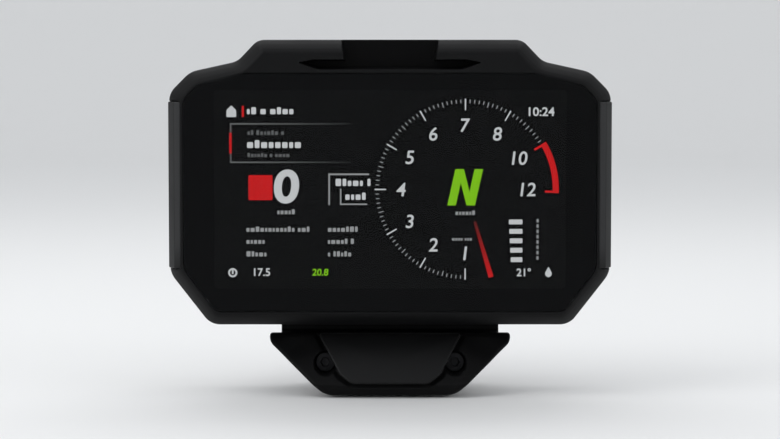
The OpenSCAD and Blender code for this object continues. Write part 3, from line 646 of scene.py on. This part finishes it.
def lens_print():
    """The black print behind the lens's border: a thin ring from the lens's edge to the picture area."""
    outer = seen_from(CENTRE, inset(lens_line, 0.15), AROUND)
    inner = seen_from(CENTRE, rounded(box_corners(SCREEN_W + 1.0, SCREEN_H + 1.0, 1.6)), AROUND)
    front, back = Y_LENS_BACK - 0.07, Y_LENS_BACK - 0.03
    rows = [ring_3d(outer, back), ring_3d(outer, front), ring_3d(inner, front), ring_3d(inner, back)]
    points, faces = rings_to_solid(rows, over=True)
    return new_piece("lens_print", points, faces, "display", PRINT, soft=False)


front_frame()
cover_lens()
lens_print()


# ---------------------------------------------------------------- side trims

def trim_section():
    """The trim's cross-section as (x, y) corners with radii: a nearly flat inner half, a crease and a steep
    outer half."""
    lip, e = TRIM_LOW[0], TRIM_HIGH[0]
    crease = lip + TRIM_CREASE * (e - lip)
    return [(lip, Y_RIM - 0.1, 0.25), (crease, Y_RIM + 1.0, 0.7), (e, Y_RIM + 5.0, 0.9),
            (e, TRIM_HIGH[1], 0.5), (e - 1.9, TRIM_HIGH[1], 0.3), (e - 1.9, Y_RIM + 6.4, 0.5),
            (crease, Y_RIM + 2.6, 0.5), (lip, Y_RIM + 1.4, 0.25)]


def side_trim(side):
    """A bar of that section carried up the side and rounded off at both ends."""
    z_lo, z_hi = TRIM_LOW[2], TRIM_HIGH[2]
    stations = np.concatenate([z_lo + 0.6 * (1 - np.cos(np.linspace(0, math.pi / 2, 6))),
                               np.linspace(z_lo + 1.2, z_hi - 1.2, 34),
                               z_hi - 0.6 * (1 - np.sin(np.linspace(0, math.pi / 2, 6)))])
    rows, section = [], rounded(trim_section(), 7)
    for z in stations:
        nearness = min(z - z_lo, z_hi - z)
        shrink = 0.11 * (1 - min(1.0, nearness / 0.6)) ** 2
        line = section + (section.mean(0) - section) * shrink
        rows.append(np.stack([side * line[:, 0], line[:, 1], np.full(len(line), z)], 1))
    hubs = [rows[0].mean(0), rows[-1].mean(0)]
    points, faces = rings_to_solid(rows, hubs[0], hubs[1])
    if side > 0:
        faces = [list(f)[::-1] for f in faces]
    name = "right" if side > 0 else "left"
    piece = new_piece(f"side_trim_{name}_bar", points, faces, "display", TRIM,
                      [f"side_trim_{name}"])
    sharpen(piece, 45)
    return piece


for trim_side in (-1, 1):
    side_trim(trim_side)


# ---------------------------------------------------------------- the lit picture

PICTURE_Y = FILM_LOW[1] - 0.04
DIAL = np.array([31.0, 0.0])
DIAL_R = 37.0


class Ink:
    """Flat shapes of one colour, gathered as corners (x, z) and faces and then made one thin piece."""

    def __init__(self, name, material):
        self.name, self.material, self.points, self.faces = name, material, [], []

    def add(self, points, faces):
        base = sum(len(p) for p in self.points)
        self.points.append(np.asarray(points, float))
        self.faces += [[base + int(i) for i in f] for f in faces]

    def patch(self, corners):
        """A filled polygon."""
        self.add(corners, [range(len(corners))])

    def bar(self, x0, x1, z0, z1, radius=0.0):
        """An upright rectangle, with rounded corners where a radius is given."""
        if radius:
            flat = [(x1, z0, radius), (x1, z1, radius), (x0, z1, radius), (x0, z0, radius)]
            self.patch(rounded(flat, 5))
        else:
            self.patch([(x0, z0), (x1, z0), (x1, z1), (x0, z1)])

    def band(self, centre, r0, r1, a0, a1, steps=48):
        """Part of a flat ring: arcs of radius r0 and r1 from a0 to a1 degrees, clockwise from the bottom."""
        a = np.radians(np.linspace(a0, a1, steps))
        unit = np.stack([-np.sin(a), -np.cos(a)], 1)
        points = np.concatenate([centre + r0 * unit, centre + r1 * unit])
        self.add(points, [[i, i + 1, steps + i + 1, steps + i] for i in range(steps - 1)])

    def ray(self, centre, angle, r0, r1, w0, w1):
        """A straight stroke along a radius, as wide as w0 at r0 and w1 at r1."""
        a = math.radians(angle)
        out, side = np.array([-math.sin(a), -math.cos(a)]), np.array([math.cos(a), -math.sin(a)])
        self.patch([centre + out * r0 - side * w0 / 2, centre + out * r1 - side * w1 / 2,
                    centre + out * r1 + side * w1 / 2, centre + out * r0 + side * w0 / 2])

    def words(self, x0, x1, z, height, seed=1):
        """A line of small blocks with the rhythm of writing and no letters in it."""
        x, k = x0, seed
        while x < x1 - 0.3:
            k = (k * 37 + 11) % 97
            width = height * (0.42 + 0.34 * (k % 5) / 4)
            if x + width > x1:
                break
            tall = height * (1.0 if k % 3 == 0 else 0.74)
            self.bar(x, x + width, z - height / 2, z - height / 2 + tall, height * 0.14)
            x += width + height * (0.62 if k % 7 == 0 else 0.2)

    def digits(self, text, x, z, height, shear=0.0, weight=0.0, squeeze=1.0):
        """Numerals centred on x, z."""
        curve = bpy.data.curves.new("numerals", "FONT")
        curve.body, curve.align_x, curve.size, curve.shear = text, "CENTER", 1.0, shear
        curve.offset, curve.resolution_u = weight, 5
        holder = bpy.data.objects.new("numerals", curve)
        bpy.context.scene.collection.objects.link(holder)
        mesh = bpy.data.meshes.new_from_object(holder.evaluated_get(bpy.context.evaluated_depsgraph_get()))
        flat = np.array([v.co[:2] for v in mesh.vertices])
        faces = [list(f.vertices) for f in mesh.polygons]
        bpy.data.objects.remove(holder)
        bpy.data.curves.remove(curve)
        bpy.data.meshes.remove(mesh)
        low, high = flat.min(0), flat.max(0)
        scale = height / (high[1] - low[1])
        flat = (flat - (low + high) / 2) * scale * (squeeze, 1) + (x, z)
        self.add(flat, faces)

    def make(self):
        flat = np.concatenate(self.points)
        points = np.stack([flat[:, 0], np.full(len(flat), PICTURE_Y), flat[:, 1]], 1)
        piece = new_piece(self.name, points, self.faces, "display", self.material,
                          soft=False)
        thick = piece.modifiers.new("thickness", "SOLIDIFY")
        thick.thickness, thick.offset = 0.02 * MM, 0
        return piece


WHITE_INK = lit_ink("pixels_white", (0.94, 0.95, 0.97), 1.15).material
SILVER_INK = lit_ink("pixels_silver", (0.9, 0.91, 0.93), 0.62).material
GREY_INK = lit_ink("pixels_grey", (0.9, 0.91, 0.93), 0.22).material
GREEN_INK = lit_ink("pixels_green", (0.3, 0.78, 0.0), 1.3).material
RED_INK = lit_ink("pixels_red", (0.86, 0.003, 0.005), 1.25).material


def fading_ink(name, colour, strength, axis, start, end):
    """Lit pixels whose light fades along an axis from start, where it is full, to end."""
    f = Finish(name, (0, 0, 0), 0.6)
    f.shader.inputs["Emission Color"].default_value = (*colour, 1)
    split = f.add("ShaderNodeSeparateXYZ")
    f.link(f.place, split.inputs["Vector"])
    fade = f.add("ShaderNodeMapRange")
    limits = {"From Min": start * MM, "From Max": end * MM, "To Min": strength, "To Max": 0.01}
    for key, value in limits.items():
        fade.inputs[key].default_value = value
    f.link(split.outputs[axis], fade.inputs["Value"])
    f.link(fade.outputs["Result"], f.shader.inputs["Emission Strength"])
    return f.material


def dial():
    """The engine-speed dial: ticks round two thirds of a ring, numerals in it, a red zone and a needle."""
    ticks, majors = Ink("dial_ticks", SILVER_INK), Ink("dial_marks", WHITE_INK)
    for degree in range(0, 238, 3):
        if degree % 30:
            ticks.ray(DIAL, degree, DIAL_R - (2.2 if degree % 15 == 0 else 1.5), DIAL_R, 0.34, 0.42)
    for degree in range(0, 240, 30):
        majors.ray(DIAL, degree, DIAL_R - 4.4, DIAL_R + 0.3, 0.5, 0.6)
    for count, label in enumerate(("1", "2", "3", "4", "5", "6", "7", "8", "10", "12")):
        a = math.radians(30 * count)
        reach = 26.4 if len(label) == 1 else 25.8
        majors.digits(label, DIAL[0] - reach * math.sin(a), DIAL[1] - reach * math.cos(a), 5.6, 0.12, 0.012)
    red = Ink("dial_red_zone", RED_INK)
    red.band(DIAL, DIAL_R - 1.0, DIAL_R + 1.5, 239.3, 272.3, 40)
    red.ray(DIAL, 240.1, DIAL_R - 4.2, DIAL_R, 0.9, 0.9)
    red.ray(DIAL, 271.5, DIAL_R - 4.2, DIAL_R, 0.9, 0.9)
    hand = fading_ink("pixels_needle_red", (0.86, 0.003, 0.005), 1.2, "Z", -36.0, -10.0)
    needle = Ink("dial_needle", hand)
    needle.ray(DIAL, -16.5, 13.8, DIAL_R + 0.8, 1.1, 2.1)
    return [ticks, majors, red, needle]


def gear_sign():
    """The green neutral sign in the middle of the dial: a slanting letter of three strokes, marks below."""
    green, silver = Ink("neutral_sign", GREEN_INK), Ink("dial_small_marks", SILVER_INK)
    lean, width, height, stroke = 0.22, 11.4, 15.0, 3.5
    base = DIAL + (-7.4, -6.6)
    slant = np.array([[1, 0], [lean, 1]])
    corners = [(0, 0), (stroke, 0), (stroke, height * 0.62), (width - stroke, 0), (width, 0),
               (width, height), (width - stroke, height), (width - stroke, height * 0.38),
               (stroke, height), (0, height)]
    green.patch(np.array(corners) @ slant + base)
    silver.words(DIAL[0] - 4.0, DIAL[0] + 4.2, -9.6, 1.9, 5)
    silver.words(DIAL[0] - 5.4, DIAL[0] + 2.8, -20.4, 1.5, 9)
    return [green, silver]


def left_panel():
    """The menu bracket, the speed and the rows of readings on the left of the picture."""
    white, silver = Ink("menu_white", WHITE_INK), Ink("menu_silver", SILVER_INK)
    grey = Ink("menu_grey", GREY_INK)
    red, green = Ink("menu_red", RED_INK), Ink("menu_green", GREEN_INK)
    fading = Ink("menu_lines", fading_ink("pixels_fading_line", (0.9, 0.91, 0.93), 0.3, "X", -64, -16))
    white.patch([(-67.2, 29.8), (-63.2, 29.8), (-63.2, 32.6), (-65.2, 34.6), (-67.2, 32.6)])
    red.bar(-60.9, -60.0, 29.8, 34.4)
    white.words(-58.8, -37.4, 32.4, 2.9, 3)
    for z in (27.0, 11.2):
        fading.bar(-65.8, -16, z - 0.28, z + 0.28)
    grey.bar(-65.8, -65.2, 23.4, 26.7)
    grey.bar(-65.8, -65.2, 11.5, 14.8)
    red.bar(-66.1, -65.1, 14.8, 23.4)
    grey.words(-58.6, -42.6, 23.4, 2.0, 8)
    white.words(-58.8, -36.6, 18.7, 3.3, 14)
    grey.words(-58.6, -40.4, 14.2, 1.8, 21)
    red.bar(-58.3, -48.4, -4.4, 5.9, 0.5)
    white.digits("0", -42.6, 1.2, 14.2, 0.06, 0.03, 1.12)
    silver.words(-46.4, -38.0, -9.2, 2.1, 2)
    silver.bar(-25.4, -24.7, -6.4, 6.6)
    silver.bar(-25.4, -8.6, 5.9, 6.6)
    silver.bar(-20.6, -20.0, -6.4, 0.3)
    silver.bar(-20.6, -9.4, -6.4, -5.8)
    white.words(-22.4, -6.4, 2.9, 3.0, 6)
    white.words(-18.4, -9.0, -2.8, 3.0, 12)
    for row, (z, reach) in enumerate(((-16.4, -32.6), (-21.4, -50.8), (-26.6, -49.4))):
        silver.words(-59.2, reach, z, 2.2, 4 + row)
        silver.words(-25.6, (-12.4, -14.8, -14.4)[row], z, 2.2, 17 + row)
    white.band(np.array([-64.9, -34.4]), 1.15, 1.9, 0, 360, 32)
    white.bar(-65.25, -64.55, -35.0, -32.9)
    white.digits("17.5", -52.8, -34.2, 3.3, 0, 0.02)
    green.digits("20.8", -28.8, -34.2, 2.9, 0.1, 0.02)
    return [white, silver, grey, red, green, fading]


def right_panel():
    """The clock, the level bars beside a dashed line, and the readings at the lower right."""
    white, silver = Ink("status_white", WHITE_INK), Ink("status_silver", SILVER_INK)
    white.digits("10:24", 62.3, 32.0, 3.7, 0, 0.02, 1.05)
    for level in range(5):
        z = -13.4 - 3.9 * level
        white.bar(49.0 + 0.2 * level, 54.6, z - 1.0, z + 1.0, 0.2)
    for dash in range(8):
        silver.bar(60.4, 61.3, -12.2 - 2.2 * dash - 1.4, -12.2 - 2.2 * dash)
    white.digits("21°", 55.2, -34.2, 3.4, 0, 0.02)
    white.patch([(65.4, -31.9), (64.0, -34.5), (64.2, -35.6), (65.4, -36.4), (66.6, -35.6), (66.8, -34.5)])
    return [white, silver]


for ink in dial() + gear_sign() + left_panel() + right_panel():
    ink.make()


# ---------------------------------------------------------------- lower cover

COVER_CENTRE = np.array([0.0, -73.0])
COVER_AROUND = np.linspace(0, TAU, 560, endpoint=False)
cover_line = rounded(mirrored(COVER_HALF))
panel_line = rounded(mirrored(PANEL_HALF))
SCREW_HEAD_R = 4
SCREW_X = (SCREWS_LOW[0] + SCREWS_HIGH[0]) / 2 + (SCREWS_HIGH[0] - SCREW_HEAD_R)
SCREW_Z = (SCREWS_LOW[2] + SCREWS_HIGH[2]) / 2
PANEL_SHAPE = [(-16, -80.6), (16, -80.6), (21, -77), (30.2, -61.2), (-30.2, -61.2), (-21, -77)]


def cover_slope(z):
    """Depth of the lower cover's sloping face at height z: a straight slope that rolls over into a nose."""
    slope = -43.5 - 15.0 * np.clip((-61.5 - z) / 19.0, 0, 1.05)
    return slope + 3.4 * smooth(80.0, 87.5, -z)


def cover_relief(x, z):
    """What the face has on top of its slope: a groove round the raised panel, the panel's seat and a soft
    hollow on either side of it."""
    rim = distance_inside(PANEL_SHAPE, x, z)
    groove = 1.5 * np.clip(1 - np.abs(rim + 0.7) / 1.5, 0, 1)
    seat = 0.5 * smooth(0, 0.8, rim)
    across = np.abs(x) - 39.5
    hollow = 1.1 * np.exp(-(across / 6.5) ** 2 - ((z + 67.0 + 0.18 * across) / 3.8) ** 2)
    return groove + seat + hollow


def screw_nearness(x, z, radius, soften=0.35):
    """1 within radius of a screw's axis and 0 outside it."""
    return 1 - smooth(radius - soften, radius + soften, np.hypot(np.abs(x) - SCREW_X, z - SCREW_Z))


def cover_face(flat, lift=0.0):
    x, z = flat.T
    y = cover_slope(z) + cover_relief(x, z) + lift
    well = screw_nearness(x, z, 4.5)
    return np.stack([x, y + (np.maximum(y, -46.9) - y) * well, z], 1)


def cover_inside(flat):
    x, z = flat.T
    y = cover_slope(z) + 2.7
    boss = screw_nearness(x, z, 5.8)
    return np.stack([x, y + (np.maximum(y, -44.0) - y) * boss, z], 1)


def neck():
    """The cover's neck: an angle section with rounded corners, carried sideways, with softened ends."""
    top, front, back = NECK_TOP, NECK_FRONT, NECK_BACK
    corners = [(COVER_BACK - 2, COVER_TOP - 2.4, 0.2), (back, COVER_TOP - 2.4, 1.5), (back, top, 0.9),
               (front, top, 0.9), (front, COVER_TOP, 1.2), (COVER_BACK - 2, COVER_TOP, 0.2)]
    line = rounded(corners, 6)
    rows = [(-NECK_HALF_W, 0.5), (-NECK_HALF_W + 0.15, 0.15), (-NECK_HALF_W + 0.5, 0.0)]
    rows += [(-x, d) for x, d in reversed(rows)]
    rings = [np.stack([np.full(len(line), x), *inset(line, d).T], 1) for x, d in rows]
    points, faces = rings_to_solid(rings)
    count = len(line)
    faces += [list(range(count))[::-1], [len(points) - count + i for i in range(count)]]
    return points, faces


def lower_cover():
    """A dished shell: rings shrink from the back edge over the rounded rim to the face's middle, and the
    inner wall repeats them from the back edge to its own middle. The neck is added to it."""
    outer = seen_from(COVER_CENTRE, cover_line, COVER_AROUND)
    roll = 1.7
    rows, back = [], COVER_BACK
    start = cover_face(seen_from(COVER_CENTRE, inset(cover_line, roll), COVER_AROUND))
    rows.append(ring_3d(outer, back))
    for t in np.linspace(0, 1, 9):
        d = roll * (1 - math.cos(t * math.pi / 2))
        flat = seen_from(COVER_CENTRE, inset(cover_line, d), COVER_AROUND)
        rows.append(ring_3d(flat, start[:, 1] + roll * (1 - math.sin(t * math.pi / 2))))
    inner = start[:, [0, 2]]
    for s in np.linspace(1, 0, 74)[1:-1]:
        rows.append(cover_face(COVER_CENTRE + (inner - COVER_CENTRE) * s))
    wall = seen_from(COVER_CENTRE, inset(cover_line, 2.4), COVER_AROUND)
    inside = [ring_3d(wall, back)] + [cover_inside(COVER_CENTRE + (wall - COVER_CENTRE) * s)
                                      for s in np.linspace(1, 0, 40)[:-1]]
    rings = inside[::-1] + rows
    hubs = [(0, inside[-1][:, 1].mean(), COVER_CENTRE[1]), (0, rows[-1][:, 1].mean(), COVER_CENTRE[1])]
    points, faces = rings_to_solid(rings, hubs[0], hubs[1])
    neck_points, neck_faces = neck()
    faces += [[len(points) + i for i in face] for face in neck_faces]
    points = np.concatenate([points, neck_points])
    piece = new_piece("lower_cover_shell", points, faces, "support", COVER, ["lower_cover"])
    sharpen(piece, 48)
    return piece


def lower_panel():
    """The raised panel: rings shrink from its back edge round a softened rim to a slightly crowned face."""
    roll, lift, crown = 1.0, 2.75, 0.5
    rows = []
    for t in np.linspace(0, 1, 8):
        d = roll * (1 - math.cos(t * math.pi / 2))
        flat = seen_from(COVER_CENTRE, inset(panel_line, d), COVER_AROUND)
        rows.append(ring_3d(flat, cover_slope(flat[:, 1]) - lift + roll * (1 - math.sin(t * math.pi / 2))))
    base = ring_3d(rows[0][:, [0, 2]], cover_slope(rows[0][:, 2]) + 0.4)
    inner = rows[-1][:, [0, 2]]
    for s in np.linspace(1, 0, 18)[1:-1]:
        flat = COVER_CENTRE + (inner - COVER_CENTRE) * s
        rows.append(ring_3d(flat, cover_slope(flat[:, 1]) - lift - crown * (1 - s * s)))
    middle = cover_slope(COVER_CENTRE[1])
    points, faces = rings_to_solid([base] + rows, (0, middle + 0.4, COVER_CENTRE[1]),
                                   (0, middle - lift - crown, COVER_CENTRE[1]))
    piece = new_piece("lower_panel_plate", points, faces, "support", PANEL, ["lower_panel"])
    sharpen(piece, 60)
    return piece


lower_cover()
lower_panel()


# ---------------------------------------------------------------- stage, lights and camera

def area_light(name, place, aim, size, power, colour=(1, 1, 1)):
    light = bpy.data.lights.new(name, "AREA")
    light.shape, light.size, light.size_y = "RECTANGLE", size[0], size[1]
    light.energy, light.color = power, colour
    lamp = bpy.data.objects.new(name, light)
    lamp.location = place
    lamp.rotation_mode = "QUATERNION"
    lamp.rotation_quaternion = (Vector(aim) - Vector(place)).to_track_quat("-Z", "Y")
    bpy.context.scene.collection.objects.link(lamp)
    return lamp


def studio_floor():
    """A pale floor that curves up into a low wall all round: a profile of radius and height, spun about the
    object."""
    floor, flat, bend, rise = COVER_LOW[2] - 1.0, 2200.0, 900.0, 500.0
    a = np.linspace(0, math.pi / 2, 20)
    radius = np.concatenate([[200.0, 800.0, flat], flat + bend * np.sin(a), [flat + bend]])
    height = floor + np.concatenate([[0, 0, 0], bend * (1 - np.cos(a)), [bend + rise]])
    turn = np.linspace(0, TAU, 96, endpoint=False)
    rings = [np.stack([r * np.cos(turn), r * np.sin(turn), np.full(len(turn), z)], 1)
             for r, z in zip(radius, height)]
    points, faces = rings_to_solid(rings, (0, 0, floor))
    mesh = bpy.data.meshes.new("studio_floor")
    mesh.from_pydata((points * MM).tolist(), [], [f[::-1] for f in faces])
    mesh.polygons.foreach_set("use_smooth", np.full(len(faces), True))
    sheet = bpy.data.objects.new("studio_floor", mesh)
    f = Finish("floor_paper", (0.85, 0.85, 0.845), 0.9)
    f.bump(f.noise(900, 3), 0.05, 0.3)
    mesh.materials.append(f.material)
    bpy.context.scene.collection.objects.link(sheet)


def world_light(strength):
    world = bpy.data.worlds.new("room")
    world.use_nodes = True
    world.node_tree.nodes["Background"].inputs["Color"].default_value = (0.9, 0.92, 0.95, 1)
    world.node_tree.nodes["Background"].inputs["Strength"].default_value = strength
    bpy.context.scene.world = world


def camera():
    """A long lens almost square to the screen and a little above it, as a rider's eyes are."""
    cam = bpy.data.cameras.new("camera")
    cam.lens, cam.sensor_width = 110, 36
    eye = bpy.data.objects.new("camera", cam)
    low, high = [np.array(c) for c in cad_box]
    aim = Vector(((low + high) / 2).tolist())
    aim.y = Y_LENS * MM
    elevation, reach = math.radians(4.0), 0.98
    eye.location = aim + Vector((0, -math.cos(elevation), math.sin(elevation))) * reach
    eye.rotation_mode = "QUATERNION"
    eye.rotation_quaternion = (aim - eye.location).to_track_quat("-Z", "Y")
    bpy.context.scene.collection.objects.link(eye)
    bpy.context.scene.camera = eye


studio_floor()
world_light(0.85)
area_light("key", (-0.75, -0.6, 1.0), (0, -0.03, 0), (0.7, 0.7), 3)
area_light("right_strip", (0.9, -0.6, 0.2), (0.09, -0.05, 0), (0.2, 0.9), 1.3)
area_light("left_strip", (-0.9, -0.6, 0.2), (-0.09, -0.05, 0), (0.2, 0.9), 1.7)
area_light("top_back", (0.0, 0.5, 0.9), (0, -0.02, 0.02), (1.2, 0.4), 2.5)
camera()
scene = bpy.context.scene
scene.view_settings.view_transform = "Standard"
scene.view_settings.look = "None"
